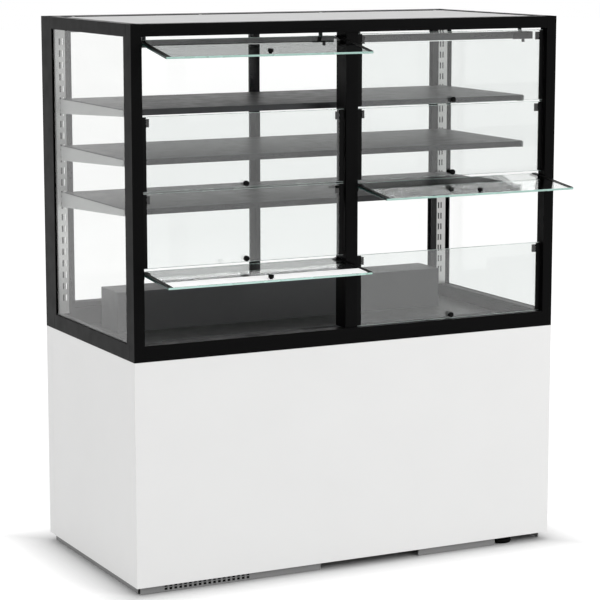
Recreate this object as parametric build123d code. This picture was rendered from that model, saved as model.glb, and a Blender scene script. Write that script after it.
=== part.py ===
from build123d import *
import math
import os

# Ambient display case, millimetres. X runs along the front, Y towards the rear, Z up from the floor.
os.makedirs("parts", exist_ok=True)

# Overall size
WIDTH = 1200.0
DEPTH = 604.0
HEIGHT = 1406.0
BODY_BOTTOM = 21.0
BODY_TOP = 588.0
HALF_W = WIDTH / 2
HALF_D = DEPTH / 2

# Upper frame, made of box tubes
TUBE_WALL = 2.5
POST_W = 28.5
POST_FRONT_D = 32.0
POST_REAR_D = 60.0
FLANGE_T = 2.5
FLANGE_FRONT = 15.5
FLANGE_REAR = 14.0
RAIL_TOP_H = 30.0
RAIL_BOTTOM_H = 40.0
SILL_REAR_H = 52.0
MULLION_W = 34.0
MULLION_D = 53.0
MULLION_SETBACK = 6.0
POST_X = HALF_W - POST_W
POST_FRONT_Y = -HALF_D + POST_FRONT_D
POST_REAR_Y = HALF_D - POST_REAR_D
OPEN_BOTTOM = BODY_TOP + RAIL_BOTTOM_H
OPEN_TOP = HEIGHT - RAIL_TOP_H

# Flaps: four rows in each of two bays, hung from pivots a little behind the glass and below its top edge
FLAP_ROWS = 4
FLAP_TOP_GAP = 5.0
FLAP_BOTTOM_GAP = 0.5
FLAP_GAP = 3.5
FLAP_SIDE_GAP = 2.0
FLAP_GLASS_T = 5.0
FLAP_SETBACK = 17.0
FLAP_PLANE_Y = -HALF_D + FLAP_SETBACK
FLAP_OFFSET = 8.0
FLAP_AXIS_Y = FLAP_PLANE_Y + FLAP_OFFSET
FLAP_AXIS_DROP = 18.0
FLAP_SPAN = OPEN_TOP - FLAP_TOP_GAP - OPEN_BOTTOM - FLAP_BOTTOM_GAP
FLAP_PITCH = (FLAP_SPAN + FLAP_GAP) / FLAP_ROWS
FLAP_H = FLAP_PITCH - FLAP_GAP
FLAP_X_IN = MULLION_W / 2 + FLAP_SIDE_GAP
FLAP_X_OUT = POST_X - FLAP_SIDE_GAP
STRIP_W = 12.5
STRIP_T = 1.2
STRIP_END_GAP = 1.5
LUG_W = 22.0
LUG_T = 3.0
LUG_ABOVE = 12.0
LUG_BELOW = 8.0
EYE_W = 6.0
PIVOT_R = 3.0
PIVOT_FIT = 0.05
PIVOT_REACH = 6.5
KNOB_R = 7.0
KNOB_LEN = 12.0
KNOB_NECK_R = 4.0
KNOB_NECK_LEN = 4.0
KNOB_ROUND = 2.5
KNOB_RISE = 10.0
# Angle at which each flap stands in the rest pose, in degrees from closed
FLAP_OPEN = {("left", 1): 80.0, ("left", 4): 85.5, ("right", 3): 83.5}
# The origin is the middle of the whole object's footprint, with the flaps standing as modelled
FLAP_WIDEST = math.radians(max(FLAP_OPEN.values()))
FLAP_FRONT = FLAP_OFFSET + FLAP_GLASS_T / 2 + STRIP_T
FLAP_REACH = (FLAP_H - FLAP_AXIS_DROP) * math.sin(FLAP_WIDEST) + FLAP_FRONT * math.cos(FLAP_WIDEST)
ORIGIN_SHIFT = -(HALF_D + FLAP_AXIS_Y - FLAP_REACH) / 2
TICKET_H = 46.0
TICKET_T = 1.0
TICKET_EDGE = 4.0
TICKET_CLEAR = 1.0

# Shelves, their brackets and slotted standards
SHELF_FIRST_DROP = 181.0
SHELF_PITCH = 122.0
SHELF_COUNT = 3
SHELF_TOPS = [OPEN_TOP - SHELF_FIRST_DROP - number * SHELF_PITCH for number in range(SHELF_COUNT)]
SHELF_END_GAP = 31.0
SHELF_X = HALF_W - SHELF_END_GAP
SHELF_SETBACK = 102.0
SHELF_REAR_GAP = 16.0
SHELF_FRONT_Y = -HALF_D + SHELF_SETBACK
SHELF_REAR_Y = POST_REAR_Y - SHELF_REAR_GAP
SHELF_T = 1.5
SHELF_FOLD = 15.0
SHELF_CORNER_R = 12.0
BRACKET_SIDE_GAP = 1.5
BRACKET_X = SHELF_X + BRACKET_SIDE_GAP
BRACKET_T = 3.0
BRACKET_REAR_H = 40.0
BRACKET_FRONT_H = 17.0
BRACKET_SETBACK = 10.0
BRACKET_FRONT_Y = SHELF_FRONT_Y + BRACKET_SETBACK
BRACKET_TOP_DROP = 2.0
LEDGE_W = 14.0
LEDGE_T = 2.0
HOOK_LEN = 7.0
HOOK_H = 6.0
HOOK_FIRST_DROP = 3.0
STANDARD_W = 28.0
STANDARD_END_GAP = 14.0
STANDARD_X1 = HALF_W - STANDARD_END_GAP
STANDARD_X0 = STANDARD_X1 - STANDARD_W
STANDARD_D = 9.0
STANDARD_WALL = 2.0
SLOT_PITCH = 30.5
SLOT_H = 17.0
SLOT_W = 4.5
SLOT_FIRST_X = 6.0
SLOT_SPACING = 8.5
SLOT_COLUMNS = (STANDARD_X0 + SLOT_FIRST_X, STANDARD_X0 + SLOT_FIRST_X + SLOT_SPACING)
HOOK_DROPS = (HOOK_FIRST_DROP, HOOK_FIRST_DROP + SLOT_PITCH)

# Sliding rear doors and their tracks
TRACK_H = 12.0
TRACK_SETBACK = 12.0
TRACK_Y0 = POST_REAR_Y + TRACK_SETBACK
TRACK_D = 34.0
TRACK_BASE = 3.0
GROOVE_W = 9.0
DOOR_SPACING = 15.0
DOOR_Y_FIRST = TRACK_Y0 + (TRACK_D - DOOR_SPACING) / 2
DOOR_Y = (DOOR_Y_FIRST, DOOR_Y_FIRST + DOOR_SPACING)
DOOR_GLASS_T = 5.0
DOOR_LAP = 12.0
DOOR_END_GAP = 2.0
STILE_W = 14.0
STILE_T = 8.0
DOOR_SEAT = 0.3
GRIP_W = 8.0
GRIP_D = 4.0
GRIP_H = 120.0
STILE_LIP = 2.0
DOOR_TOP_GAP = 2.0
JAMB_W = 17.0
JAMB_X0 = STANDARD_X0 - JAMB_W
JAMB_T = 3.0

# Side glass
SIDE_GLASS_T = 6.0
SIDE_GLASS_INSET = 3.0
GASKET_W = 1.5
GASKET_D = 6.0

# Top panel
TOP_SHEET = 2.0
TOP_RECESS = 2.0
TOP_FLANGE = 18.0

# Light bars
BAR_H = 17.5
BAR_D = 26.0
BAR_SETBACK = 62.0
BAR_DROP = 12.0
BAR_Y = -HALF_D + BAR_SETBACK
BAR_TOP = OPEN_TOP - BAR_DROP
BAR_END_GAP = 8.0
BAR_BLOCK_LEN = 58.0
BAR_BLOCK_H = 18.5
BAR_BLOCK_EXTRA = 3.0
BAR_HANGER_R = 5.0
BAR_KNOB_R = 4.0
BAR_KNOB_LEN = 9.0
LENS_INSET = 3.0
LENS_DEPTH = 1.2
LENS_PROUD = 2.0

# Deck, riser and goods stop
DECK_T = 4.0
DECK_TOP = BODY_TOP + DECK_T
RISER_END_GAP = 120.0
RISER_X = HALF_W - RISER_END_GAP
RISER_D = 112.0
RISER_REAR_GAP = 42.0
RISER_Y1 = POST_REAR_Y - RISER_REAR_GAP
RISER_Y0 = RISER_Y1 - RISER_D
RISER_H = 106.0
RISER_TOP = DECK_TOP + RISER_H
RISER_SHEET = 2.0
STOP_SETBACK = 110.0
STOP_Y = -HALF_D + STOP_SETBACK
STOP_T = 2.0
STOP_H = 25.0
STOP_FOOT = 14.0

# Lower body
PANEL_SHEET = 1.5
PANEL_GAP = 0.5
FOOT_PLATE = 35.0
FOOT_PLATE_T = 4.0
REAR_WRAP = 37.0
CABINET_TUBE = 30.0
CABINET_WALL = 2.0
FLOOR_SHEET = 2.0
LOUVRE_COUNT = 6
LOUVRE_DROP = 168.0
LOUVRE_Z = BODY_TOP - LOUVRE_DROP
LOUVRE_PITCH = 14.0
LOUVRE_W = 260.0
LOUVRE_H = 5.0

# Plinth skirt, feet
SKIRT_INSET = 12.0
SKIRT_T = 2.0
SKIRT_CLEAR = 1.0
SKIRT_FLANGE = 14.0
SKIRT_TOP = BODY_BOTTOM
SKIRT_LEFT_X0 = -HALF_W + 14.0
SKIRT_LEFT_LEN = 502.0
SKIRT_RIGHT_X1 = HALF_W - 159.0
SKIRT_RIGHT_LEN = 235.0
GRILLE_X0 = SKIRT_LEFT_X0 + 62.0
GRILLE_PITCH = 13.3
GRILLE_HOLE = 8.0
GRILLE_COLUMNS = 18
GRILLE_Z = (5.0, 13.0)
GRILLE_ROW_H = 6.0
FOOT_INSET_X = 124.0
FOOT_INSET_Y = 45.0
FOOT_X = HALF_W - FOOT_INSET_X
FOOT_Y = HALF_D - FOOT_INSET_Y
FOOT_R = 30.0
FOOT_PAD_H = 12.0
FOOT_STEM_R = 6.0
FOOT_ROUND = 5.0
FOOT_NUT_R = 11.0
FOOT_NUT_H = 5.0

# Electrical pieces on the rear panel and under the deck
INLET_INSET = 130.0
INLET_RISE = 99.0
INLET_X = HALF_W - INLET_INSET
INLET_Z = BODY_BOTTOM + INLET_RISE
INLET_W = 48.0
INLET_H = 28.0
INLET_D = 30.0
INLET_FIT = 0.3
INLET_RECESS = 16.0
INLET_SIDE = 6.0
INLET_RIM = 5.0
INLET_PIN_GAP = 9.0
INLET_PIN_W = 2.0
INLET_PIN_H = 6.0
INLET_PIN_DROP = 5.0
BRIDGE_GAP = 1.0
SWITCH_SPACING = 45.0
SWITCH_X = INLET_X - SWITCH_SPACING
SWITCH_W = 21.0
SWITCH_H = 27.0
SWITCH_FRAME = 3.0
SWITCH_D = 16.0
SWITCH_FIT = 0.4
SWITCH_BACK = 2.0
SWITCH_SKIN = 1.0
ROCKER_TILT = 8.0
ROCKER_BEVEL = 12.0
ROCKER_CUT = 2.4
ROCKER_DROP = 1.5
ROCKER_SEAT = 1.5
ROCKER_BACK = 4.0
ROCKER_END_GAP = 1.6
ROCKER_PIN_R = 1.5
DRIVER_LEN = 190.0
DRIVER_W = 62.0
DRIVER_H = 40.0
DRIVER_END_GAP = 60.0
DRIVER_SETBACK = 122.0
DRIVER_Y = POST_REAR_Y - DRIVER_SETBACK
DRIVER_TAB = 12.0
DRIVER_TAB_T = 2.0
DRIVER_TAB_INSET = 6.0


def block(x0, x1, y0, y1, z0, z1):
    middle = ((x0 + x1) / 2, (y0 + y1) / 2, (z0 + z1) / 2)
    return Pos(*middle) * Box(x1 - x0, y1 - y0, z1 - z0)


def rod(axis, radius, length, centre):
    turn = {"x": Rot(0, 90, 0), "y": Rot(90, 0, 0), "z": Rot(0, 0, 0)}[axis]
    return Pos(*centre) * turn * Cylinder(radius, length)


def tube_z(x0, x1, y0, y1, z0, z1, wall):
    inner = block(x0 + wall, x1 - wall, y0 + wall, y1 - wall, z0, z1)
    return block(x0, x1, y0, y1, z0, z1) - inner


def tube_x(x0, x1, y0, y1, z0, z1, wall):
    inner = block(x0, x1, y0 + wall, y1 - wall, z0 + wall, z1 - wall)
    return block(x0, x1, y0, y1, z0, z1) - inner


def tube_y(x0, x1, y0, y1, z0, z1, wall):
    inner = block(x0 + wall, x1 - wall, y0, y1, z0 + wall, z1 - wall)
    return block(x0, x1, y0, y1, z0, z1) - inner


def mirrored(solid):
    return mirror(solid, about=Plane.YZ)


def save(name, *solids):
    placed = [Pos(0, ORIGIN_SHIFT, 0) * solid for solid in solids]
    shape = placed[0] if len(placed) == 1 else Compound(children=placed)
    export_step(shape, f"parts/{name}.step")


def flap_axis_z(row):
    return OPEN_TOP - FLAP_TOP_GAP - (row - 1) * FLAP_PITCH - FLAP_AXIS_DROP


def pivot_holes(x0, x1):
    middle = (x0 + x1) / 2
    radius = PIVOT_R + PIVOT_FIT
    rows = range(1, FLAP_ROWS + 1)
    return [rod("x", radius, x1 - x0, (middle, FLAP_AXIS_Y, flap_axis_z(row))) for row in rows]


def glazing_flange(y0, y1):
    # Outer lip of a corner post that covers the side pane's edge
    return block(-HALF_W, -HALF_W + FLANGE_T, y0, y1, OPEN_BOTTOM, OPEN_TOP)


def front_post():
    post = tube_z(-HALF_W, -POST_X, -HALF_D, POST_FRONT_Y, BODY_TOP, HEIGHT, TUBE_WALL)
    post += glazing_flange(POST_FRONT_Y, POST_FRONT_Y + FLANGE_FRONT)
    for hole in pivot_holes(-POST_X - TUBE_WALL, -POST_X):
        post -= hole
    return post


def rear_post():
    post = tube_z(-HALF_W, -POST_X, POST_REAR_Y, HALF_D, BODY_TOP, HEIGHT, TUBE_WALL)
    return post + glazing_flange(POST_REAR_Y - FLANGE_REAR, POST_REAR_Y)


def mullion():
    half = MULLION_W / 2
    y0 = -HALF_D + MULLION_SETBACK
    post = tube_z(-half, half, y0, y0 + MULLION_D, OPEN_BOTTOM, OPEN_TOP, TUBE_WALL)
    for side in (-half, half - TUBE_WALL):
        for hole in pivot_holes(side, side + TUBE_WALL):
            post -= hole
    return post


def front_rail(z0, z1):
    return tube_x(-POST_X, POST_X, -HALF_D, POST_FRONT_Y, z0, z1, TUBE_WALL)


def rear_rail(z0, z1):
    return tube_x(-POST_X, POST_X, POST_REAR_Y, HALF_D, z0, z1, TUBE_WALL)


def side_rail(z0, z1):
    return tube_y(-HALF_W, -POST_X, POST_FRONT_Y, POST_REAR_Y, z0, z1, TUBE_WALL)


def top_panel():
    x1, y0, y1 = POST_X, POST_FRONT_Y, POST_REAR_Y
    z1 = HEIGHT - TOP_RECESS
    z0 = z1 - TOP_FLANGE
    hollow = block(-x1 + TOP_SHEET, x1 - TOP_SHEET, y0 + TOP_SHEET, y1 - TOP_SHEET, z0, z1 - TOP_SHEET)
    return block(-x1, x1, y0, y1, z0, z1) - hollow


def side_pane():
    x0 = -HALF_W + SIDE_GLASS_INSET
    y0, y1 = POST_FRONT_Y + GASKET_W, POST_REAR_Y - GASKET_W
    return block(x0, x0 + SIDE_GLASS_T, y0, y1, OPEN_BOTTOM + GASKET_W, OPEN_TOP - GASKET_W)


def side_gasket():
    x0 = -HALF_W + SIDE_GLASS_INSET + SIDE_GLASS_T / 2 - GASKET_D / 2
    y0, y1 = POST_FRONT_Y, POST_REAR_Y
    ring = block(x0, x0 + GASKET_D, y0, y1, OPEN_BOTTOM, OPEN_TOP)
    y0, y1 = y0 + GASKET_W, y1 - GASKET_W
    return ring - block(x0, x0 + GASKET_D, y0, y1, OPEN_BOTTOM + GASKET_W, OPEN_TOP - GASKET_W)


def flap_pane():
    # Closed position, with the pivot axis on the X axis and the glass in front of it
    y0, z1 = -FLAP_OFFSET - FLAP_GLASS_T / 2, FLAP_AXIS_DROP
    return block(FLAP_X_IN, FLAP_X_OUT, y0, y0 + FLAP_GLASS_T, z1 - FLAP_H, z1)


def flap_edge_strip(x0, x1):
    # Black strip on the outer face along one upright edge
    y1 = -FLAP_OFFSET - FLAP_GLASS_T / 2
    z0, z1 = FLAP_AXIS_DROP - FLAP_H + STRIP_END_GAP, FLAP_AXIS_DROP - STRIP_END_GAP
    return block(x0, x1, y1 - STRIP_T, y1, z0, z1)


def flap_lug(x_end, toward):
    # Hinge plate on the inner face, with an eye and a pin that reaches into the frame
    y0 = -FLAP_OFFSET + FLAP_GLASS_T / 2
    x_in, x_eye = x_end - toward * LUG_W, x_end - toward * EYE_W
    plate = block(min(x_in, x_end), max(x_in, x_end), y0, y0 + LUG_T, -LUG_BELOW, LUG_ABOVE)
    eye = block(min(x_eye, x_end), max(x_eye, x_end), y0, 0, -LUG_BELOW, LUG_BELOW)
    eye += rod("x", LUG_BELOW, EYE_W, (x_end - toward * EYE_W / 2, 0, 0))
    eye -= block(min(x_eye, x_end), max(x_eye, x_end), y0 - LUG_BELOW, y0, -LUG_BELOW, LUG_BELOW)
    return plate + eye + rod("x", PIVOT_R, PIVOT_REACH, (x_end + toward * PIVOT_REACH / 2, 0, 0))


def flap_knob():
    x = (FLAP_X_IN + FLAP_X_OUT) / 2
    z = FLAP_AXIS_DROP - FLAP_H + KNOB_RISE
    y = -FLAP_OFFSET - FLAP_GLASS_T / 2
    neck = rod("y", KNOB_NECK_R, KNOB_NECK_LEN, (x, y - KNOB_NECK_LEN / 2, z))
    head_len = KNOB_LEN - KNOB_NECK_LEN
    head = rod("y", KNOB_R, head_len, (x, y - KNOB_NECK_LEN - head_len / 2, z))
    rim = head.edges().group_by(Axis.Y)[0]
    return neck + fillet(rim, KNOB_ROUND)


def flap_hardware():
    inner = flap_edge_strip(FLAP_X_IN, FLAP_X_IN + STRIP_W)
    outer = flap_edge_strip(FLAP_X_OUT - STRIP_W, FLAP_X_OUT)
    return [inner, outer, flap_lug(FLAP_X_IN, -1), flap_lug(FLAP_X_OUT, 1), flap_knob()]


def ticket_strip():
    # Adhesive strip on the outer face beside the free edge, interrupted around the knob
    x0, x1 = FLAP_X_IN + STRIP_W, FLAP_X_OUT - STRIP_W
    y1 = -FLAP_OFFSET - FLAP_GLASS_T / 2
    z0 = FLAP_AXIS_DROP - FLAP_H + TICKET_EDGE
    strip = block(x0, x1, y1 - TICKET_T, y1, z0, z0 + TICKET_H)
    x = (FLAP_X_IN + FLAP_X_OUT) / 2
    z = FLAP_AXIS_DROP - FLAP_H + KNOB_RISE
    return strip - rod("y", KNOB_NECK_R + TICKET_CLEAR, 2 * KNOB_LEN, (x, y1, z))


def place_flap(solid, side, row):
    turned = Rot(-FLAP_OPEN.get((side, row), 0.0), 0, 0) * solid
    placed = Pos(0, FLAP_AXIS_Y, flap_axis_z(row)) * turned
    return placed if side == "right" else mirrored(placed)


def shelf(top):
    plate = block(-SHELF_X, SHELF_X, SHELF_FRONT_Y, SHELF_REAR_Y, top - SHELF_FOLD, top)
    corners = plate.edges().filter_by(Axis.Z).group_by(Axis.Y)[0]
    plate = fillet(corners, SHELF_CORNER_R)
    x1 = SHELF_X - SHELF_T
    y0, y1 = SHELF_FRONT_Y + SHELF_T, SHELF_REAR_Y - SHELF_T
    hollow = block(-x1, x1, y0, y1, top - SHELF_FOLD, top - SHELF_T)
    hollow_corners = hollow.edges().filter_by(Axis.Z).group_by(Axis.Y)[0]
    return plate - fillet(hollow_corners, SHELF_CORNER_R - SHELF_T)


def bracket(top):
    # Tapered plate beside the shelf, with a ledge under the shelf's fold and two hooks at the rear
    x0, x1 = BRACKET_X, BRACKET_X + BRACKET_T
    y1 = POST_REAR_Y - STANDARD_D
    outline = Polyline(
        (BRACKET_FRONT_Y, top - BRACKET_FRONT_H),
        (BRACKET_FRONT_Y, top - BRACKET_TOP_DROP),
        (y1, top - BRACKET_TOP_DROP),
        (y1, top - BRACKET_REAR_H),
        close=True,
    )
    plate = Pos(x0, 0, 0) * extrude(Plane.YZ * make_face(outline), BRACKET_T)
    ledge_top = top - SHELF_FOLD
    plate += block(x0 - LEDGE_W, x0, BRACKET_FRONT_Y, SHELF_REAR_Y, ledge_top - LEDGE_T, ledge_top)
    for z in HOOK_DROPS:
        plate += block(x0, x1, y1, y1 + HOOK_LEN, top - z - HOOK_H, top - z)
    return plate


def standard():
    y0 = POST_REAR_Y - STANDARD_D
    x0, x1 = STANDARD_X0 + STANDARD_WALL, STANDARD_X1 - STANDARD_WALL
    bar = block(STANDARD_X0, STANDARD_X1, y0, POST_REAR_Y, OPEN_BOTTOM, OPEN_TOP)
    bar -= block(x0, x1, y0 + STANDARD_WALL, POST_REAR_Y, OPEN_BOTTOM, OPEN_TOP)
    count = int((OPEN_TOP - OPEN_BOTTOM) / SLOT_PITCH) - 1
    first = SHELF_TOPS[-1] - HOOK_DROPS[0] - HOOK_H / 2
    first -= int((first - OPEN_BOTTOM - SLOT_H) / SLOT_PITCH) * SLOT_PITCH
    slots = []
    for column in SLOT_COLUMNS:
        for number in range(count):
            z = first + number * SLOT_PITCH
            x = column - SLOT_W / 2
            slots.append(block(x, x + SLOT_W, y0, y0 + STANDARD_WALL, z - SLOT_H / 2, z + SLOT_H / 2))
    return bar - slots


def jamb():
    # Dark cover strip between the standard and the rear doors
    y0 = POST_REAR_Y - STANDARD_D
    face = block(JAMB_X0, STANDARD_X0, y0, y0 + JAMB_T, OPEN_BOTTOM, OPEN_TOP)
    web = block(STANDARD_X0 - JAMB_T, STANDARD_X0, y0, POST_REAR_Y, OPEN_BOTTOM, OPEN_TOP)
    return face + web


def door_track(z_base, up):
    # Strip with three ribs that form one groove for each door
    z0, z1 = (z_base, z_base + TRACK_H) if up else (z_base - TRACK_H, z_base)
    track = block(-POST_X, POST_X, TRACK_Y0, TRACK_Y0 + TRACK_D, z0, z1)
    for y in DOOR_Y:
        g0, g1 = (z0 + TRACK_BASE, z1) if up else (z0, z1 - TRACK_BASE)
        track -= block(-POST_X, POST_X, y - GROOVE_W / 2, y + GROOVE_W / 2, g0, g1)
    return track


def door_limits():
    z0 = BODY_TOP + SILL_REAR_H + TRACK_BASE + DOOR_SEAT
    z1 = OPEN_TOP - TRACK_BASE - DOOR_TOP_GAP
    return z0, z1


def door_pane(y):
    z0, z1 = door_limits()
    x0, x1 = -POST_X + DOOR_END_GAP, DOOR_LAP
    x0, x1 = x0 + STILE_LIP, x1 - STILE_LIP
    return block(x0, x1, y - DOOR_GLASS_T / 2, y + DOOR_GLASS_T / 2, z0, z1)


def door_stiles(y, pane):
    z0, z1 = door_limits()
    x0, x1 = -POST_X + DOOR_END_GAP, DOOR_LAP
    outer = block(x0, x0 + STILE_W, y - STILE_T / 2, y + STILE_T / 2, z0, z1) - pane
    inner = block(x1 - STILE_W, x1, y - STILE_T / 2, y + STILE_T / 2, z0, z1) - pane
    x = x0 + (STILE_W - GRIP_W) / 2
    z = (z0 + z1) / 2
    y_face = y + STILE_T / 2
    outer += block(x, x + GRIP_W, y_face, y_face + GRIP_D, z - GRIP_H / 2, z + GRIP_H / 2)
    return [outer, inner]


def light_bar():
    # Right-hand bay: long profile with a lens recess, an end block, two hangers and a push knob
    x0, x1 = MULLION_W / 2 + BAR_END_GAP, POST_X - BAR_END_GAP
    y0, y1 = BAR_Y, BAR_Y + BAR_D
    bar = block(x0, x1, y0, y1, BAR_TOP - BAR_H, BAR_TOP)
    lens = block(x0 + LENS_INSET, x1 - BAR_BLOCK_LEN, y0 + LENS_INSET, y1 - LENS_INSET,
                 BAR_TOP - BAR_H, BAR_TOP - BAR_H + LENS_DEPTH)
    bar -= lens
    extra = BAR_BLOCK_EXTRA
    bar += block(x1 - BAR_BLOCK_LEN, x1, y0 - extra, y1 + extra, BAR_TOP - BAR_BLOCK_H, BAR_TOP)
    ceiling = HEIGHT - TOP_RECESS - TOP_SHEET
    y = (y0 + y1) / 2
    for x in (x0 + BAR_BLOCK_LEN / 2, x1 - BAR_BLOCK_LEN / 2):
        bar += rod("z", BAR_HANGER_R, ceiling - BAR_TOP, (x, y, (ceiling + BAR_TOP) / 2))
    knob_z = BAR_TOP - BAR_BLOCK_H - BAR_KNOB_LEN / 2
    bar += rod("z", BAR_KNOB_R, BAR_KNOB_LEN, (x1 - BAR_BLOCK_LEN / 3, y, knob_z))
    return bar


def light_lens():
    x0, x1 = MULLION_W / 2 + BAR_END_GAP, POST_X - BAR_END_GAP
    z0 = BAR_TOP - BAR_H
    return block(x0 + LENS_INSET, x1 - BAR_BLOCK_LEN, BAR_Y + LENS_INSET, BAR_Y + BAR_D - LENS_INSET,
                 z0 - LENS_PROUD, z0 + LENS_DEPTH)


def deck():
    return block(-POST_X, POST_X, POST_FRONT_Y, POST_REAR_Y, BODY_TOP, DECK_TOP)


def riser():
    t = RISER_SHEET
    box = block(-RISER_X, RISER_X, RISER_Y0, RISER_Y1, DECK_TOP, RISER_TOP)
    return box - block(-RISER_X + t, RISER_X - t, RISER_Y0 + t, RISER_Y1 - t, DECK_TOP, RISER_TOP - t)


def goods_stop():
    lip = block(-RISER_X, RISER_X, STOP_Y, STOP_Y + STOP_T, DECK_TOP, DECK_TOP + STOP_H)
    return lip + block(-RISER_X, RISER_X, STOP_Y, STOP_Y + STOP_FOOT, DECK_TOP, DECK_TOP + STOP_T)


def front_panel():
    return block(-HALF_W, HALF_W, -HALF_D, -HALF_D + PANEL_SHEET, BODY_BOTTOM, BODY_TOP)


def side_panel():
    y0, y1 = -HALF_D + PANEL_SHEET, HALF_D - REAR_WRAP - PANEL_GAP
    return block(-HALF_W, -HALF_W + PANEL_SHEET, y0, y1, BODY_BOTTOM, BODY_TOP)


def rear_panel():
    # Rear sheet that wraps round both rear corners, with louvres and an opening for the power module
    t = PANEL_SHEET
    y0, y1 = HALF_D - REAR_WRAP, HALF_D
    panel = block(-HALF_W, HALF_W, y0, y1, BODY_BOTTOM, BODY_TOP)
    panel -= block(-HALF_W + t, HALF_W - t, y0, y1 - t, BODY_BOTTOM, BODY_TOP)
    panel -= inlet_body(INLET_FIT)
    panel -= switch_body(INLET_FIT)
    for number in range(LOUVRE_COUNT):
        z = LOUVRE_Z + number * LOUVRE_PITCH
        panel -= block(-LOUVRE_W / 2, LOUVRE_W / 2, y1 - t, y1, z, z + LOUVRE_H)
    return panel


def cabinet_frame():
    # Welded tubes: a ring under the deck, a ring at the bottom, four uprights and four foot plates
    w, wall = CABINET_TUBE, CABINET_WALL
    x1, y1 = HALF_W - PANEL_SHEET, HALF_D - PANEL_SHEET
    z0, z1 = BODY_BOTTOM, BODY_TOP
    frame = None
    for x in (-x1, x1 - w):
        for y in (-y1, y1 - w):
            post = tube_z(x, x + w, y, y + w, z0, z1, wall)
            frame = post if frame is None else frame + post
    for z in (z0, z1 - w):
        for y in (-y1, y1 - w):
            frame += tube_x(-x1 + w, x1 - w, y, y + w, z, z + w, wall)
        for x in (-x1, x1 - w):
            frame += tube_y(x, x + w, -y1 + w, y1 - w, z, z + w, wall)
    for x in (-FOOT_X, FOOT_X):
        for y in (-FOOT_Y, FOOT_Y):
            half = FOOT_PLATE
            frame += block(x - half, x + half, y - half, y + half, z0, z0 + FOOT_PLATE_T)
    return frame


def floor_sheet():
    x1, y1 = HALF_W - PANEL_SHEET, HALF_D - PANEL_SHEET
    z0 = BODY_BOTTOM + CABINET_TUBE
    w = CABINET_TUBE
    sheet = block(-x1, x1, -y1, y1, z0, z0 + FLOOR_SHEET)
    for x in (-x1, x1 - w):
        for y in (-y1, y1 - w):
            sheet -= block(x, x + w, y, y + w, z0, z0 + FLOOR_SHEET)
    return sheet


def skirt_front(x0, x1, grille):
    y0 = -HALF_D + SKIRT_INSET
    strip = block(x0, x1, y0, y0 + SKIRT_T, SKIRT_CLEAR, SKIRT_TOP)
    strip += block(x0, x1, y0, y0 + SKIRT_FLANGE, SKIRT_TOP - SKIRT_T, SKIRT_TOP)
    if not grille:
        return strip
    half = GRILLE_HOLE / 2
    holes = []
    for column in range(GRILLE_COLUMNS):
        x = GRILLE_X0 + (column + 0.5) * GRILLE_PITCH
        for z in GRILLE_Z:
            holes.append(block(x - half, x + half, y0, y0 + SKIRT_T, z, z + GRILLE_ROW_H))
    return strip - holes


def skirt_side():
    x0 = -HALF_W + SKIRT_INSET
    y0, y1 = -HALF_D + SKIRT_INSET + SKIRT_FLANGE, HALF_D - SKIRT_INSET
    strip = block(x0, x0 + SKIRT_T, y0, y1, SKIRT_CLEAR, SKIRT_TOP)
    return strip + block(x0, x0 + SKIRT_FLANGE, y0, y1, SKIRT_TOP - SKIRT_T, SKIRT_TOP)


def foot(x, y):
    pad = rod("z", FOOT_R, FOOT_PAD_H, (x, y, FOOT_PAD_H / 2))
    pad = fillet(pad.edges().group_by(Axis.Z)[-1], FOOT_ROUND)
    z1 = BODY_BOTTOM
    stem = rod("z", FOOT_STEM_R, z1 - FOOT_PAD_H, (x, y, (z1 + FOOT_PAD_H) / 2))
    nut = rod("z", FOOT_NUT_R, FOOT_NUT_H, (x, y, z1 - FOOT_NUT_H / 2))
    return pad + stem + nut


def inlet_body(grow):
    half_w, half_h = INLET_W / 2 + grow, INLET_H / 2 + grow
    x, z = INLET_X, INLET_Z
    return block(x - half_w, x + half_w, HALF_D - INLET_D, HALF_D, z - half_h, z + half_h)


def power_module():
    # Socket and switch housing behind the rear sheet, one moulding with a recess and three pins
    body = inlet_body(0) + switch_housing()
    x0, x1 = SWITCH_X + SWITCH_W / 2, INLET_X - INLET_W / 2
    y0, y1 = HALF_D - SWITCH_D, HALF_D - PANEL_SHEET - BRIDGE_GAP
    body += block(x0, x1, y0, y1, INLET_Z - SWITCH_H / 2, INLET_Z + SWITCH_H / 2)
    half_w, half_h = INLET_W / 2 - INLET_SIDE, INLET_H / 2 - INLET_RIM
    y0 = HALF_D - INLET_RECESS
    body -= block(INLET_X - half_w, INLET_X + half_w, y0, HALF_D, INLET_Z - half_h, INLET_Z + half_h)
    half_w, half_h = INLET_PIN_W / 2, INLET_PIN_H / 2
    for offset in (-INLET_PIN_GAP, 0, INLET_PIN_GAP):
        x = INLET_X + offset
        body += block(x - half_w, x + half_w, y0 - SWITCH_SKIN, HALF_D - INLET_PIN_DROP, INLET_Z - half_h,
                      INLET_Z + half_h)
    return body


def switch_body(grow):
    half_w, half_h = SWITCH_W / 2 + grow, SWITCH_H / 2 + grow
    x, z = SWITCH_X, INLET_Z
    return block(x - half_w, x + half_w, HALF_D - SWITCH_D, HALF_D, z - half_h, z + half_h)


def rocker_axis_y():
    return HALF_D - SWITCH_D / 2


def switch_housing():
    frame = switch_body(0)
    half_w, half_h = SWITCH_W / 2 - SWITCH_FRAME, SWITCH_H / 2 - SWITCH_FRAME
    frame -= block(SWITCH_X - half_w, SWITCH_X + half_w, HALF_D - SWITCH_D + SWITCH_BACK, HALF_D,
                   INLET_Z - half_h, INLET_Z + half_h)
    reach = SWITCH_FRAME - SWITCH_SKIN
    for side in (-1, 1):
        x = SWITCH_X + side * (half_w + reach / 2)
        frame -= rod("x", ROCKER_PIN_R + PIVOT_FIT, reach, (x, rocker_axis_y(), INLET_Z))
    return frame


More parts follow.
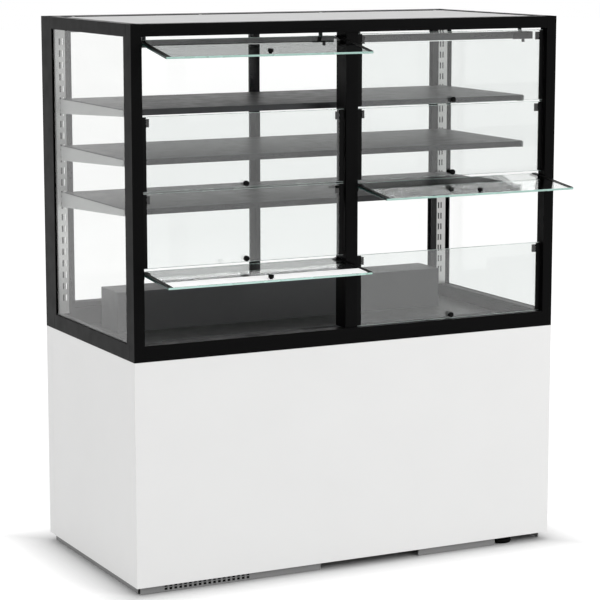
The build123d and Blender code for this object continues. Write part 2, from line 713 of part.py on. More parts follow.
def rocker():
    # Rocker whose outer face falls back from a ridge in the middle; it rests with its lower half pressed in
    half_w = SWITCH_W / 2 - SWITCH_FRAME - SWITCH_FIT
    half_h = SWITCH_H / 2 - SWITCH_FRAME - ROCKER_END_GAP
    depth = SWITCH_D / 2 - ROCKER_DROP
    key = block(-half_w, half_w, -ROCKER_BACK, depth, -half_h, half_h)
    key += rod("x", ROCKER_PIN_R, 2 * (half_w + SWITCH_FIT + ROCKER_SEAT), (0, 0, 0))
    for side in (-1, 1):
        waste = Pos(0, ROCKER_CUT / 2, side * half_h) * Box(3 * half_w, ROCKER_CUT, 2 * half_h)
        key -= Pos(0, depth, 0) * Rot(side * ROCKER_BEVEL, 0, 0) * waste
    return Pos(SWITCH_X, rocker_axis_y(), INLET_Z) * Rot(-ROCKER_TILT, 0, 0) * key


def led_driver():
    x1 = HALF_W - PANEL_SHEET - CABINET_TUBE - DRIVER_END_GAP
    x0 = x1 - DRIVER_LEN
    y0, y1 = DRIVER_Y, DRIVER_Y + DRIVER_W
    z0 = BODY_BOTTOM + CABINET_TUBE + FLOOR_SHEET
    tabs = block(x0 - DRIVER_TAB, x1 + DRIVER_TAB, y0 + DRIVER_TAB_INSET, y1 - DRIVER_TAB_INSET, z0,
                 z0 + DRIVER_TAB_T)
    return block(x0, x1, y0, y1, z0, z0 + DRIVER_H) + tabs


# Upper frame
save("frame_post_front_left", front_post())
save("frame_post_front_right", mirrored(front_post()))
save("frame_post_rear_left", rear_post())
save("frame_post_rear_right", mirrored(rear_post()))
save("frame_mullion_front", mullion())
save("frame_rail_top_front", front_rail(OPEN_TOP, HEIGHT))
save("frame_rail_top_rear", rear_rail(OPEN_TOP, HEIGHT))
save("frame_rail_top_left", side_rail(OPEN_TOP, HEIGHT))
save("frame_rail_top_right", mirrored(side_rail(OPEN_TOP, HEIGHT)))
save("frame_rail_bottom_front", front_rail(BODY_TOP, OPEN_BOTTOM))
save("frame_rail_bottom_rear", rear_rail(BODY_TOP, BODY_TOP + SILL_REAR_H))
save("frame_rail_bottom_left", side_rail(BODY_TOP, OPEN_BOTTOM))
save("frame_rail_bottom_right", mirrored(side_rail(BODY_TOP, OPEN_BOTTOM)))
save("top_panel", top_panel())
save("side_glass_left", side_pane())
save("side_glass_right", mirrored(side_pane()))
save("side_glass_gaskets", side_gasket(), mirrored(side_gasket()))

# Front flaps
PANE = flap_pane()
HARDWARE = flap_hardware()
for side in ("left", "right"):
    for row in range(1, FLAP_ROWS + 1):
        save(f"flap_glass_{side}_{row}", place_flap(PANE, side, row))
        save(f"flap_fittings_{side}_{row}", *[place_flap(piece, side, row) for piece in HARDWARE])
save("flap_ticket_strip", place_flap(ticket_strip(), "left", FLAP_ROWS))

# Shelving
for number, top in enumerate(SHELF_TOPS, start=1):
    save(f"shelf_{number}", shelf(top))
BRACKETS = [bracket(top) for top in SHELF_TOPS]
save("shelf_brackets", *BRACKETS, *[mirrored(piece) for piece in BRACKETS])
save("shelf_standards", standard(), mirrored(standard()))
save("rear_jambs", jamb(), mirrored(jamb()))

# Rear doors
save("door_tracks", door_track(BODY_TOP + SILL_REAR_H, True), door_track(OPEN_TOP, False))
for side, y in (("left", DOOR_Y[0]), ("right", DOOR_Y[1])):
    pane = door_pane(y)
    stiles = door_stiles(y, pane)
    if side == "right":
        pane = mirrored(pane)
        stiles = [mirrored(piece) for piece in stiles]
    save(f"rear_door_glass_{side}", pane)
    save(f"rear_door_stiles_{side}", *stiles)

# Lighting
BAR_SHIFT = Pos(-(POST_X + MULLION_W / 2), 0, 0)
save("light_bars", light_bar(), BAR_SHIFT * light_bar())
save("light_lenses", light_lens(), BAR_SHIFT * light_lens())

# Deck and display fittings
save("deck_plate", deck())
save("deck_riser", riser())
save("goods_stop", goods_stop())

# Lower body
save("body_panel_front", front_panel())
save("body_panel_left", side_panel())
save("body_panel_right", mirrored(side_panel()))
save("body_panel_rear", rear_panel())
save("cabinet_frame", cabinet_frame(), floor_sheet())
SKIRTS = [
    skirt_front(SKIRT_LEFT_X0, SKIRT_LEFT_X0 + SKIRT_LEFT_LEN, True),
    skirt_front(SKIRT_RIGHT_X1 - SKIRT_RIGHT_LEN, SKIRT_RIGHT_X1, False),
    skirt_side(),
    mirrored(skirt_side()),
]
save("plinth_skirts", *SKIRTS)
save("levelling_feet", *[foot(x, y) for x in (-FOOT_X, FOOT_X) for y in (-FOOT_Y, FOOT_Y)])
save("power_module", power_module())
save("switch_rocker", rocker())
save("led_driver", led_driver())
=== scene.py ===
import math

import bmesh
import bpy
from mathutils import Matrix, Vector


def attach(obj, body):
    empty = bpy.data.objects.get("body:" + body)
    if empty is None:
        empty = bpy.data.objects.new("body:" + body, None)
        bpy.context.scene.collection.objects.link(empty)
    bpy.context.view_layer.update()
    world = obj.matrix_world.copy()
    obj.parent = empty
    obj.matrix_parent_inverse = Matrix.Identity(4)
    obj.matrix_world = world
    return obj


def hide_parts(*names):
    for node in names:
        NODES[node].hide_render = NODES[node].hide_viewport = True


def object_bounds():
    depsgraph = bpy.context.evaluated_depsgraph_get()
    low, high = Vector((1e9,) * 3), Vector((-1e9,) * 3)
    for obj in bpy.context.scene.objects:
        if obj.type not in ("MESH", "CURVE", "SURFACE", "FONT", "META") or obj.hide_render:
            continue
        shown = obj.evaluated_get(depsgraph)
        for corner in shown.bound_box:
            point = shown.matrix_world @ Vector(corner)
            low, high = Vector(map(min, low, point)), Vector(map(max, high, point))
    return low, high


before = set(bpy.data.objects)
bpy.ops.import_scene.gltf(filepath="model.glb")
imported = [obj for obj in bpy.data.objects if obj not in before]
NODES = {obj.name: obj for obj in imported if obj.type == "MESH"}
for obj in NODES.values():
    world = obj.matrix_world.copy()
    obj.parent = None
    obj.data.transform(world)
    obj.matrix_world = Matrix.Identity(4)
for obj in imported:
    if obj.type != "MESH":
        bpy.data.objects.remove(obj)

CAD_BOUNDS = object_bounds()
SCENE = bpy.context.scene

# The case's middle lies behind the origin, because three flaps stand out in front
HALF_W = 0.600
HALF_D = 0.302
MIDDLE_Y = CAD_BOUNDS[1][1] - HALF_D
POST_X = 0.5715
MULLION_X = 0.017

# Flaps: pivot line, its height in each row, and the angle at which each open one stands
FLAP_ROWS = 4
FLAP_PITCH = 0.1865
FLAP_TOP_AXIS_Z = 1.353
FLAP_AXIS_Y = MIDDLE_Y - 0.277
FLAP_AXIS_Z = [FLAP_TOP_AXIS_Z - row * FLAP_PITCH for row in range(FLAP_ROWS)]
FLAP_OPEN = {"left_1": 80.0, "left_4": 85.5, "right_3": 83.5}
FLAP_LABELS = [f"{side}_{row}" for side in ("left", "right") for row in range(1, FLAP_ROWS + 1)]
FLAP_X = (0.019, 0.5695)

# What stands at x in the right bay stands at x - BAY_STEP in the left one
BAY_STEP = FLAP_X[0] + FLAP_X[1]

# Glass panes keep the CAD size; the chamfer is the polished edge. A face of the pane counts as one
# of its ends or its broad faces when its normal points at least this squarely that way.
GLASS_CHAMFER = 0.0008
END_FACING = 0.5
BROAD_FACING = 0.9
CORNER_DIGITS = 6

# Small rounding of the other pieces' edges
EDGE_ROUND = 0.0005
EDGE_ANGLE = math.radians(35)
WELD_REACH = 0.00001

# Camera found from the straight edges in the photograph
CAMERA_PLACE = (-2.668217, MIDDLE_Y - 5.272309, 1.624614)
CAMERA_TURN = 0.469
CAMERA_TILT = 0.1625
CAMERA_LENS = 135.1335
CAMERA_REACH = 100.0
SENSOR = 36.0

# Materials: scale and detail of the noise in tone and gloss, and the noise values that are spread out
CLOUDS = (5.0, 5.0)
PATCHES = (28.0, 6.0)
GRAIN_DETAIL = 2.0
GLASS_CLOUDS = (4.0, 3.0)
GLASS_SMEARS = (9.0, 5.0)
NOISE_LOW, NOISE_HIGH = 0.3, 0.7
GLASS_STRETCH = (1.0, 1.0, 3.0)
GLASS_DARKEST = 0.985
SMEAR_ROUGH = 0.0015


def link(tree, source, target):
    tree.links.new(source, target)


def noise_node(tree, vector, scale, detail):
    node = tree.nodes.new("ShaderNodeTexNoise")
    node.inputs["Scale"].default_value = scale
    node.inputs["Detail"].default_value = detail
    link(tree, vector, node.inputs["Vector"])
    return node.outputs["Fac"]


def spread_node(tree, value, low, high):
    node = tree.nodes.new("ShaderNodeMapRange")
    node.inputs["From Min"].default_value = NOISE_LOW
    node.inputs["From Max"].default_value = NOISE_HIGH
    node.inputs["To Min"].default_value = low
    node.inputs["To Max"].default_value = high
    link(tree, value, node.inputs["Value"])
    return node.outputs["Result"]


def object_vector(tree, stretch):
    coords = tree.nodes.new("ShaderNodeTexCoord")
    mapping = tree.nodes.new("ShaderNodeMapping")
    mapping.inputs["Scale"].default_value = stretch
    link(tree, coords.outputs["Object"], mapping.inputs["Vector"])
    return mapping.outputs["Vector"]


def new_material(name):
    mat = bpy.data.materials.new(name)
    mat.use_nodes = True
    return mat, mat.node_tree, mat.node_tree.nodes["Principled BSDF"]


def cloudy_tone(tree, shader, vector, clouds, dark, light):
    # Mixes two tones of one colour in clouds
    tone = tree.nodes.new("ShaderNodeMix")
    tone.data_type = "RGBA"
    tone.inputs["A"].default_value = (*dark, 1.0)
    tone.inputs["B"].default_value = (*light, 1.0)
    link(tree, spread_node(tree, noise_node(tree, vector, *clouds), 0.0, 1.0), tone.inputs["Factor"])
    link(tree, tone.outputs["Result"], shader.inputs["Base Color"])


def surface(name, colour, rough, metallic=0.0, specular=0.5, change=0.06, rough_change=0.06,
            grain=700.0, bump=0.08, stretch=(1.0, 1.0, 1.0), depth=0.0002, glow=0.0):
    # Opaque finish with a cloudy tone, patchy gloss and a fine grain
    mat, tree, shader = new_material(name)
    shader.inputs["Metallic"].default_value = metallic
    shader.inputs["Specular IOR Level"].default_value = specular
    shader.inputs["Emission Strength"].default_value = glow
    vector = object_vector(tree, stretch)
    dark = [c * (1 - change) for c in colour]
    light = [min(1.0, c * (1 + change)) for c in colour]
    cloudy_tone(tree, shader, vector, CLOUDS, dark, light)
    patches = noise_node(tree, vector, *PATCHES)
    gloss = spread_node(tree, patches, rough - rough_change, rough + rough_change)
    link(tree, gloss, shader.inputs["Roughness"])
    bumps = tree.nodes.new("ShaderNodeBump")
    bumps.inputs["Strength"].default_value = bump
    bumps.inputs["Distance"].default_value = depth
    link(tree, noise_node(tree, vector, grain, GRAIN_DETAIL), bumps.inputs["Height"])
    link(tree, bumps.outputs["Normal"], shader.inputs["Normal"])
    return mat


def glass(name, colour, rough, ior, weight=1.0):
    # Glass with faint wiping marks in its gloss; a low weight makes a tinted, nearly opaque edge
    mat, tree, shader = new_material(name)
    shader.inputs["Transmission Weight"].default_value = weight
    shader.inputs["IOR"].default_value = ior
    vector = object_vector(tree, GLASS_STRETCH)
    cloudy_tone(tree, shader, vector, GLASS_CLOUDS, [c * GLASS_DARKEST for c in colour], colour)
    smears = noise_node(tree, vector, *GLASS_SMEARS)
    gloss = spread_node(tree, smears, rough, rough * 2.0 + SMEAR_ROUGH)
    link(tree, gloss, shader.inputs["Roughness"])
    return mat


# One material for each slot of the CAD; the lamps' lenses glow a little, and the ticket strip glows as
# painted light, standing in for the light it passes and reflects
MATS = {
    "frame_black": surface("frame_black_finish", (0.0022, 0.0022, 0.0023), 0.34, specular=0.04, grain=900.0),
    "body_white": surface("body_white_finish", (0.86, 0.86, 0.855), 0.38, specular=0.25,
                          change=0.008, grain=900.0),
    "top_grey": surface("top_grey_finish", (0.60, 0.60, 0.60), 0.45, specular=0.3, change=0.02),
    "shelf_dark": surface("shelf_dark_finish", (0.030, 0.031, 0.033), 0.42, specular=0.3, change=0.1),
    "bracket_grey": surface("bracket_grey_finish", (0.47, 0.48, 0.475), 0.40, specular=0.4, change=0.04),
    "standard_steel": surface("standard_steel_finish", (0.62, 0.62, 0.61), 0.33, metallic=0.8, change=0.05,
                              stretch=(1.0, 1.0, 0.03), grain=1600.0),
    "clear_glass": glass("clear_glass_finish", (0.93, 0.935, 0.93), 0.0, 1.25),
    "gasket_rubber": surface("gasket_rubber_finish", (0.010, 0.010, 0.010), 0.62, specular=0.15,
                             grain=2500.0),
    "fitting_black": surface("fitting_black_finish", (0.0025, 0.0025, 0.0025), 0.40, specular=0.06),
    # Painted light: the white ticket strip glows, though it is no lamp
    "ticket_white": surface("ticket_white_painted_glow_finish", (0.92, 0.92, 0.92), 0.75, specular=0.08, change=0.01,
                            bump=0.02, glow=0.30),
    "track_dark": surface("track_dark_finish", (0.022, 0.022, 0.023), 0.45, specular=0.3,
                          stretch=(0.05, 1.0, 1.0), grain=1400.0),
    "bar_dark": surface("bar_dark_finish", (0.060, 0.061, 0.063), 0.38, specular=0.3,
                        stretch=(0.05, 1.0, 1.0), grain=1500.0),
    "lens_white": surface("lens_white_finish", (0.82, 0.82, 0.80), 0.55, bump=0.03, glow=0.70),
    "deck_grey": surface("deck_grey_finish", (0.095, 0.097, 0.095), 0.40, specular=0.35, change=0.04),
    "steel_dark": surface("steel_dark_finish", (0.095, 0.096, 0.098), 0.45, specular=0.35),
    "skirt_grey": surface("skirt_grey_finish", (0.27, 0.27, 0.27), 0.50, specular=0.3),
    "driver_grey": surface("driver_grey_finish", (0.40, 0.41, 0.42), 0.45, metallic=0.6),
}
FLAP_GLASS = glass("flap_glass_finish", (0.835, 0.858, 0.85), 0.0, 1.62)
# Painted light: a brighter, greener copy of the edge glass, for the light the open, tilted panes catch and
# carry to their long edges
LIT_EDGE_MINT = glass("edge_mint_painted_light_finish", (0.58, 0.88, 0.79), 0.18, 1.45, weight=0.35)
EDGE_PALE = glass("edge_pale_finish", (0.66, 0.78, 0.74), 0.18, 1.45, weight=0.5)
EDGE_DARK = glass("edge_dark_finish", (0.02, 0.06, 0.05), 0.15, 1.45, weight=0.35)
BRASS = surface("pin_brass_finish", (0.75, 0.56, 0.25), 0.28, metallic=1.0)
ZINC = surface("screw_zinc_finish", (0.55, 0.55, 0.56), 0.30, metallic=0.9)
NYLON = surface("bushing_nylon_finish", (0.16, 0.16, 0.16), 0.50, specular=0.3)
BRUSH = surface("brush_seal_finish", (0.02, 0.02, 0.02), 0.85, stretch=(40.0, 1.0, 1.0),
                grain=300.0, bump=0.4)

# Tubes, sheets and fittings get a small rounded edge that catches the light
SHARP_SLOTS = ("clear_glass", "lens_white", "gasket_rubber", "standard_steel")
for node in NODES.values():
    slot_name = node.data.materials[0].name.split(".")[0]
    for material_slot in node.material_slots:
        material_slot.material = MATS[slot_name]
    if slot_name not in SHARP_SLOTS:
        weld = node.modifiers.new("joined_corners", "WELD")
        weld.merge_threshold = WELD_REACH
        rounded = node.modifiers.new("rounded_edges", "BEVEL")
        rounded.width = EDGE_ROUND
        rounded.segments = 2
        rounded.limit_method = "ANGLE"
        rounded.angle_limit = EDGE_ANGLE


def new_piece(name, bm, materials, body):
    mesh = bpy.data.meshes.new(name)
    bmesh.ops.recalc_face_normals(bm, faces=bm.faces[:])
    bm.to_mesh(mesh)
    bm.free()
    piece = bpy.data.objects.new(name, mesh)
    SCENE.collection.objects.link(piece)
    for mat in materials:
        mesh.materials.append(mat)
    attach(piece, body)
    return piece


def add_box(bm, size, matrix, chamfer):
    # Adds a chamfered box to a bmesh; fromkeys lists each edge once, in a fixed order
    made = bmesh.ops.create_cube(bm, size=1.0, matrix=matrix @ Matrix.Diagonal((*size, 1.0)))
    edges = list(dict.fromkeys(e for v in made["verts"] for e in v.link_edges))
    bmesh.ops.bevel(bm, geom=edges, offset=chamfer, segments=1, affect="EDGES", material=-1)


def pane_frame(node):
    # Place and size of a flat CAD pane, from its eight corners
    corners = {tuple(round(c, CORNER_DIGITS) for c in v.co) for v in NODES[node].data.vertices}
    points = [Vector(c) for c in corners]
    centre = sum(points, Vector()) / len(points)
    x_axis = Vector((1, 0, 0))
    width = max(p.x for p in points) - min(p.x for p in points)
    first = [p for p in points if p.x < centre.x]
    pairs = sorted(((a - b).length, (a - b)) for i, a in enumerate(first) for b in first[i + 1:])
    thick = pairs[0][1]
    tall = pairs[2][1]
    z_axis = tall.normalized() * (1 if tall.z >= 0 else -1)
    y_axis = z_axis.cross(x_axis)
    turn = Matrix((x_axis, y_axis, z_axis)).transposed().to_4x4()
    return Matrix.Translation(centre) @ turn, (width, thick.length, tall.length)


def glass_pane(name, node, body, face_mat, long_edge, end_edge):
    # A pane with its own materials on the faces, the long edges and the upright ends
    matrix, size = pane_frame(node)
    bm = bmesh.new()
    add_box(bm, size, matrix, GLASS_CHAMFER)
    normal = (matrix.to_3x3() @ Vector((0, 1, 0))).normalized()
    bm.normal_update()
    for face in bm.faces:
        if abs(face.normal.x) > END_FACING:
            face.material_index = 2
        elif abs(face.normal.dot(normal)) < BROAD_FACING:
            face.material_index = 1
    pane = new_piece(name, bm, [face_mat, long_edge, end_edge], body)
    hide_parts(node)


for label in FLAP_LABELS:
    # Open flaps take the lit mint copy of the edge glass, as painted light; closed ones the pale edge
    long_edge = LIT_EDGE_MINT if label in FLAP_OPEN else EDGE_PALE
    glass_pane(f"flap_pane_{label}", f"flap_glass_{label}", f"flap_{label}",
               FLAP_GLASS, long_edge, EDGE_DARK)
for side in ("left", "right"):
    glass_pane(f"rear_door_pane_{side}", f"rear_door_glass_{side}", f"rear_door_{side}",
               MATS["clear_glass"], EDGE_PALE, EDGE_PALE)


def add_loop(bm, matrix, radius, z, sides):
    # Adds a circle of vertices around the matrix's Z
    angles = [2 * math.pi * step / sides for step in range(sides)]
    return [bm.verts.new(matrix @ Vector((radius * math.cos(a), radius * math.sin(a), z))) for a in angles]


def join_loops(bm, near, far):
    for step in range(len(near)):
        following = (step + 1) % len(near)
        bm.faces.new((near[step], near[following], far[following], far[step]))


def add_ring(bm, matrix, inner, outer, length, sides=24):
    # Adds a flat ring whose axis is the matrix's Z
    profile = ((inner, 0.0), (outer, 0.0), (outer, length), (inner, length))
    loops = [add_loop(bm, matrix, radius, z, sides) for radius, z in profile]
    for near, far in zip(loops, loops[1:] + loops[:1]):
        join_loops(bm, near, far)


# Screw head: its outline as shares of radius and height, and the round socket in it
SCREW_PROFILE = ((1.0, 0.0), (1.0, 0.45), (0.8, 0.9), (0.6, 1.0))
SOCKET_INSET = 0.2
SOCKET_DEPTH = 0.45


def add_screw(bm, matrix, radius, height, sides=20):
    # Adds a domed screw head that stands on the matrix's XY plane
    loops = [add_loop(bm, matrix, radius * reach, height * z, sides) for reach, z in SCREW_PROFILE]
    for near, far in zip(loops, loops[1:]):
        join_loops(bm, near, far)
    bm.faces.new(list(reversed(loops[0])))
    cap = bm.faces.new(loops[-1])
    rim, depth = radius * SOCKET_INSET, height * SOCKET_DEPTH
    bmesh.ops.inset_individual(bm, faces=[cap], thickness=rim, depth=-depth)


def place_of(x, y, z):
    # A place measured from the case's middle in x and y, and from the floor
    return Matrix.Translation((x, MIDDLE_Y + y, z))


def turned(degrees, axis):
    return Matrix.Rotation(math.radians(degrees), 4, axis)


# A flanged bushing in the frame at each end of each flap's pivot line
BUSHING_BORE_R = 0.0033
BUSHING_R = 0.0062
BUSHING_T = 0.0012
bm = bmesh.new()
for z in FLAP_AXIS_Z:
    for side in (-1, 1):
        for x, facing in ((MULLION_X, side), (POST_X, -side)):
            place = Matrix.Translation((side * x, FLAP_AXIS_Y, z)) @ turned(90 * facing, "Y")
            add_ring(bm, place, BUSHING_BORE_R, BUSHING_R, BUSHING_T)
new_piece("pivot_bushings", bm, [NYLON], "case")

# Screw heads on each flap's hinge lugs
LUG_FACE_Y = -0.0025
LUG_SCREW_INSET = 0.016
LUG_SCREW_Z = (-0.004, 0.007)
LUG_SCREW_R = 0.0026
LUG_SCREW_H = 0.0013
for label in FLAP_LABELS:
    side = 1 if label.startswith("right") else -1
    row = int(label[-1]) - 1
    angle = FLAP_OPEN.get(label, 0.0)
    hinge = Matrix.Translation((0.0, FLAP_AXIS_Y, FLAP_AXIS_Z[row])) @ turned(-angle, "X")
    bm = bmesh.new()
    for x in (FLAP_X[0] + LUG_SCREW_INSET, FLAP_X[1] - LUG_SCREW_INSET):
        for z in LUG_SCREW_Z:
            head = hinge @ Matrix.Translation((side * x, LUG_FACE_Y, z)) @ turned(-90, "X")
            add_screw(bm, head, LUG_SCREW_R, LUG_SCREW_H)
    new_piece(f"lug_screws_{label}", bm, [ZINC], f"flap_{label}")

# Screws along the top panel, which lies below the frame's top
TOP_PANEL_Z = 1.404
TOP_SCREW_X = (-0.54, -0.18, 0.18, 0.54)
TOP_SCREW_Y = (-0.248, 0.225)
TOP_SCREW_R = 0.0045
TOP_SCREW_H = 0.0016
bm = bmesh.new()
for x in TOP_SCREW_X:
    for y in TOP_SCREW_Y:
        add_screw(bm, place_of(x, y, TOP_PANEL_Z), TOP_SCREW_R, TOP_SCREW_H)
new_piece("top_panel_screws", bm, [MATS["top_grey"]], "case")

# Ceiling collars of the light bars' hangers
BAR_Y = -0.227
HANGER_X = (0.054, 0.5345)
COLLAR_Z = 1.3985
COLLAR_BORE_R = 0.0051
COLLAR_R = 0.009
COLLAR_H = 0.0033
bm = bmesh.new()
for step in (-BAY_STEP, 0.0):
    for x in HANGER_X:
        add_ring(bm, place_of(x + step, BAR_Y, COLLAR_Z), COLLAR_BORE_R, COLLAR_R, COLLAR_H)
new_piece("hanger_collars", bm, [ZINC], "case")

# Brush seal between the two rear doors, on the left door's inner stile
BRUSH_SEAL_SIZE = (0.006, 0.0055, 0.720)
BRUSH_SEAL_PLACE = (0.004, 0.270, 1.0057)
BRUSH_SEAL_CHAMFER = 0.0006
bm = bmesh.new()
add_box(bm, BRUSH_SEAL_SIZE, place_of(*BRUSH_SEAL_PLACE), BRUSH_SEAL_CHAMFER)
new_piece("brush_seal_left_door", bm, [BRUSH], "rear_door_left")

# Black sleeves over the light bars' end blocks
SLEEVE_SIZE = (0.0586, 0.0326, 0.0191)
SLEEVE_Z = 1.35475
SLEEVE_CHAMFER = 0.001
bm = bmesh.new()
for step in (-BAY_STEP, 0.0):
    add_box(bm, SLEEVE_SIZE, place_of(HANGER_X[1] + step, BAR_Y, SLEEVE_Z), SLEEVE_CHAMFER)
new_piece("end_block_sleeves", bm, [MATS["fitting_black"]], "case")

# Black sheets behind the plinth grille and the gap beside it, painted shade standing in for the dark under
# the case: size and place of each
SHADE_LINERS = (((0.500, 0.001, 0.016), (-0.335, -0.2860, 0.0100)),
          ((0.288, 0.001, 0.0185), (0.061, -0.2300, 0.0102)))
SHADE_LINER_CHAMFER = 0.0002
bm = bmesh.new()
for size, place in SHADE_LINERS:
    add_box(bm, size, place_of(*place), SHADE_LINER_CHAMFER)
new_piece("plinth_painted_shade_liners", bm, [MATS["fitting_black"]], "case")

# Rear sheet: pressed louvre blades behind the slots
BLADES = 6
BLADE_SIZE = (0.262, 0.010, 0.0010)
BLADE_Y = 0.2945
BLADE_FIRST_Z = 0.4245
BLADE_PITCH = 0.014
BLADE_TILT = -40
BLADE_CHAMFER = 0.0003
bm = bmesh.new()
for number in range(BLADES):
    blade = place_of(0.0, BLADE_Y, BLADE_FIRST_Z + number * BLADE_PITCH) @ turned(BLADE_TILT, "X")
    add_box(bm, BLADE_SIZE, blade, BLADE_CHAMFER)
new_piece("louvre_blades", bm, [MATS["body_white"]], "case")

# Power inlet: brass sleeves on the three pins
INLET_X = 0.470
INLET_Z = 0.120
PIN_PITCH = 0.009
PIN_SIZE = (0.0023, 0.0095, 0.0063)
PIN_Y = 0.2922
PIN_CHAMFER = 0.0004
bm = bmesh.new()
for number in (-1, 0, 1):
    add_box(bm, PIN_SIZE, place_of(INLET_X + number * PIN_PITCH, PIN_Y, INLET_Z), PIN_CHAMFER)
new_piece("inlet_pins", bm, [BRASS], "case")

# A ring on the rocker's upper half and a bar on its lower one, each lying on its own sloping face
ROCKER_PLACE = (0.425, 0.294, 0.120)
ROCKER_TILT = -8
ROCKER_DEPTH = 0.0065
ROCKER_HALF_H = 0.0089
ROCKER_SLOPE = math.radians(12)
MARK_T = 0.0002
RING_MARK = (0.0012, 0.0018)
BAR_MARK_SIZE = (0.0007, 0.0004, 0.0042)
BAR_MARK_CHAMFER = 0.00005
bm = bmesh.new()
for side in (-1, 1):
    y = ROCKER_DEPTH - math.sin(ROCKER_SLOPE) * ROCKER_HALF_H / 2
    z = side * math.cos(ROCKER_SLOPE) * ROCKER_HALF_H / 2
    slope = Matrix.Rotation(side * ROCKER_SLOPE, 4, "X")
    face = place_of(*ROCKER_PLACE) @ turned(ROCKER_TILT, "X") @ Matrix.Translation((0.0, y, z)) @ slope
    if side > 0:
        add_ring(bm, face @ turned(-90, "X"), *RING_MARK, MARK_T)
    else:
        add_box(bm, BAR_MARK_SIZE, face, BAR_MARK_CHAMFER)
new_piece("rocker_marks", bm, [MATS["body_white"]], "switch_rocker")


# Floor, backdrop and light
def math_node(tree, operation, first, second=None, clamp=False):
    node = tree.nodes.new("ShaderNodeMath")
    node.operation = operation
    node.use_clamp = clamp
    for socket, value in zip(node.inputs, (first, second)):
        if isinstance(value, (int, float)):
            socket.default_value = value
        elif value is not None:
            link(tree, value, socket)
    return node.outputs[0]


def flagged_rays(tree):
    # 1 for what is seen directly, in a reflection or through glass, and 0 for diffuse light
    path = tree.nodes.new("ShaderNodeLightPath")
    direct = math_node(tree, "ADD", path.outputs["Is Camera Ray"], path.outputs["Is Glossy Ray"])
    return math_node(tree, "ADD", direct, path.outputs["Is Transmission Ray"], clamp=True)


def emptied_tree(owner):
    owner.use_nodes = True
    owner.node_tree.nodes.clear()
    return owner.node_tree


# The floor is lifted to white in view; the lift fades out over LIFT_SPREAD toward the case's footprint and
# is gone under it, a painted shade that darkens the floor near and under the case on top of its real shadow
WHITE = (1.0, 1.0, 1.0, 1.0)
FLOOR_TONE = (0.80, 0.80, 0.80, 1.0)
FLOOR_LIFT = 0.45
LIFT_SPREAD = 0.12
FLOOR_HALF = 30.0
floor_mat = bpy.data.materials.new("floor_pale")
floor_tree = emptied_tree(floor_mat)
floor_out = floor_tree.nodes.new("ShaderNodeOutputMaterial")
floor_diffuse = floor_tree.nodes.new("ShaderNodeBsdfDiffuse")
floor_diffuse.inputs["Color"].default_value = FLOOR_TONE
floor_coords = floor_tree.nodes.new("ShaderNodeTexCoord")
floor_axes = floor_tree.nodes.new("ShaderNodeSeparateXYZ")
link(floor_tree, floor_coords.outputs["Object"], floor_axes.inputs[0])
from_centre = math_node(floor_tree, "ABSOLUTE", floor_axes.outputs[0])
from_side = math_node(floor_tree, "SUBTRACT", from_centre, HALF_W)
from_middle = math_node(floor_tree, "SUBTRACT", floor_axes.outputs[1], MIDDLE_Y)
from_front = math_node(floor_tree, "SUBTRACT", math_node(floor_tree, "ABSOLUTE", from_middle), HALF_D)
outside = math_node(floor_tree, "MAXIMUM", from_side, from_front)
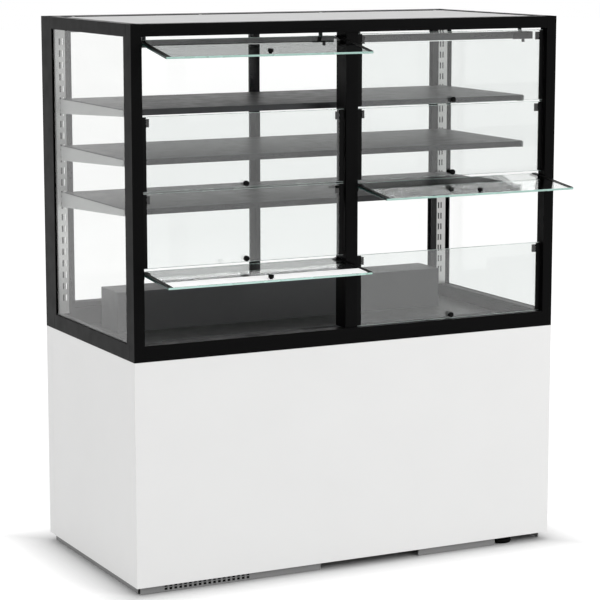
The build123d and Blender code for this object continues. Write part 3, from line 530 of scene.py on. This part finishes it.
# Painted shade: less lift near the case's footprint, none under it
lift_share = math_node(floor_tree, "DIVIDE", outside, LIFT_SPREAD, clamp=True)
lift = math_node(floor_tree, "MULTIPLY", lift_share, FLOOR_LIFT)
seen_lift = math_node(floor_tree, "MULTIPLY", flagged_rays(floor_tree), lift)
floor_glow = floor_tree.nodes.new("ShaderNodeEmission")
link(floor_tree, seen_lift, floor_glow.inputs["Strength"])
floor_add = floor_tree.nodes.new("ShaderNodeAddShader")
link(floor_tree, floor_diffuse.outputs[0], floor_add.inputs[0])
link(floor_tree, floor_glow.outputs[0], floor_add.inputs[1])
link(floor_tree, floor_add.outputs[0], floor_out.inputs["Surface"])
floor_mesh = bpy.data.meshes.new("studio_floor")
floor_mesh.from_pydata(
    [(-FLOOR_HALF, -FLOOR_HALF, 0), (FLOOR_HALF, -FLOOR_HALF, 0),
     (FLOOR_HALF, FLOOR_HALF, 0), (-FLOOR_HALF, FLOOR_HALF, 0)], [], [(0, 1, 2, 3)])
floor_mesh.materials.append(floor_mat)
floor = bpy.data.objects.new("studio_floor", floor_mesh)
SCENE.collection.objects.link(floor)

# The world is white in view and lights the case a little less
WORLD_SEEN = 1.0
WORLD_LIGHT = 0.80
world = bpy.data.worlds.new("studio_world")
SCENE.world = world
world_tree = emptied_tree(world)
world_out = world_tree.nodes.new("ShaderNodeOutputWorld")
world_mix = world_tree.nodes.new("ShaderNodeMixShader")
link(world_tree, flagged_rays(world_tree), world_mix.inputs[0])
for socket, strength in zip(list(world_mix.inputs)[1:], (WORLD_LIGHT, WORLD_SEEN)):
    backdrop = world_tree.nodes.new("ShaderNodeBackground")
    backdrop.inputs["Color"].default_value = WHITE
    backdrop.inputs["Strength"].default_value = strength
    link(world_tree, backdrop.outputs[0], socket)
link(world_tree, world_mix.outputs[0], world_out.inputs["Surface"])

# Soft lamps: place, side length and power
LAMP_AIM = (0.0, 0.0, 0.7)
LAMPS = {
    "key_lamp": ((2.6, -4.6, 3.2), 2.4, 76.0),
    "fill_lamp": ((-4.4, -1.6, 2.4), 2.0, 14.0),
}
for name, (place, side_length, power) in LAMPS.items():
    lamp_data = bpy.data.lights.new(name, "AREA")
    lamp_data.shape = "RECTANGLE"
    lamp_data.size = lamp_data.size_y = side_length
    lamp_data.energy = power
    lamp = bpy.data.objects.new(name, lamp_data)
    lamp.location = place
    lamp.rotation_euler = (Vector(LAMP_AIM) - Vector(place)).to_track_quat("-Z", "Y").to_euler()
    SCENE.collection.objects.link(lamp)

camera_data = bpy.data.cameras.new("photo_camera")
camera_data.sensor_width = SENSOR
camera_data.lens = CAMERA_LENS
camera_data.clip_end = CAMERA_REACH
camera = bpy.data.objects.new("photo_camera", camera_data)
camera.location = CAMERA_PLACE
camera.rotation_euler = (math.pi / 2 - CAMERA_TILT, 0.0, -CAMERA_TURN)
SCENE.collection.objects.link(camera)
SCENE.camera = camera
SCENE.view_settings.view_transform = "Standard"
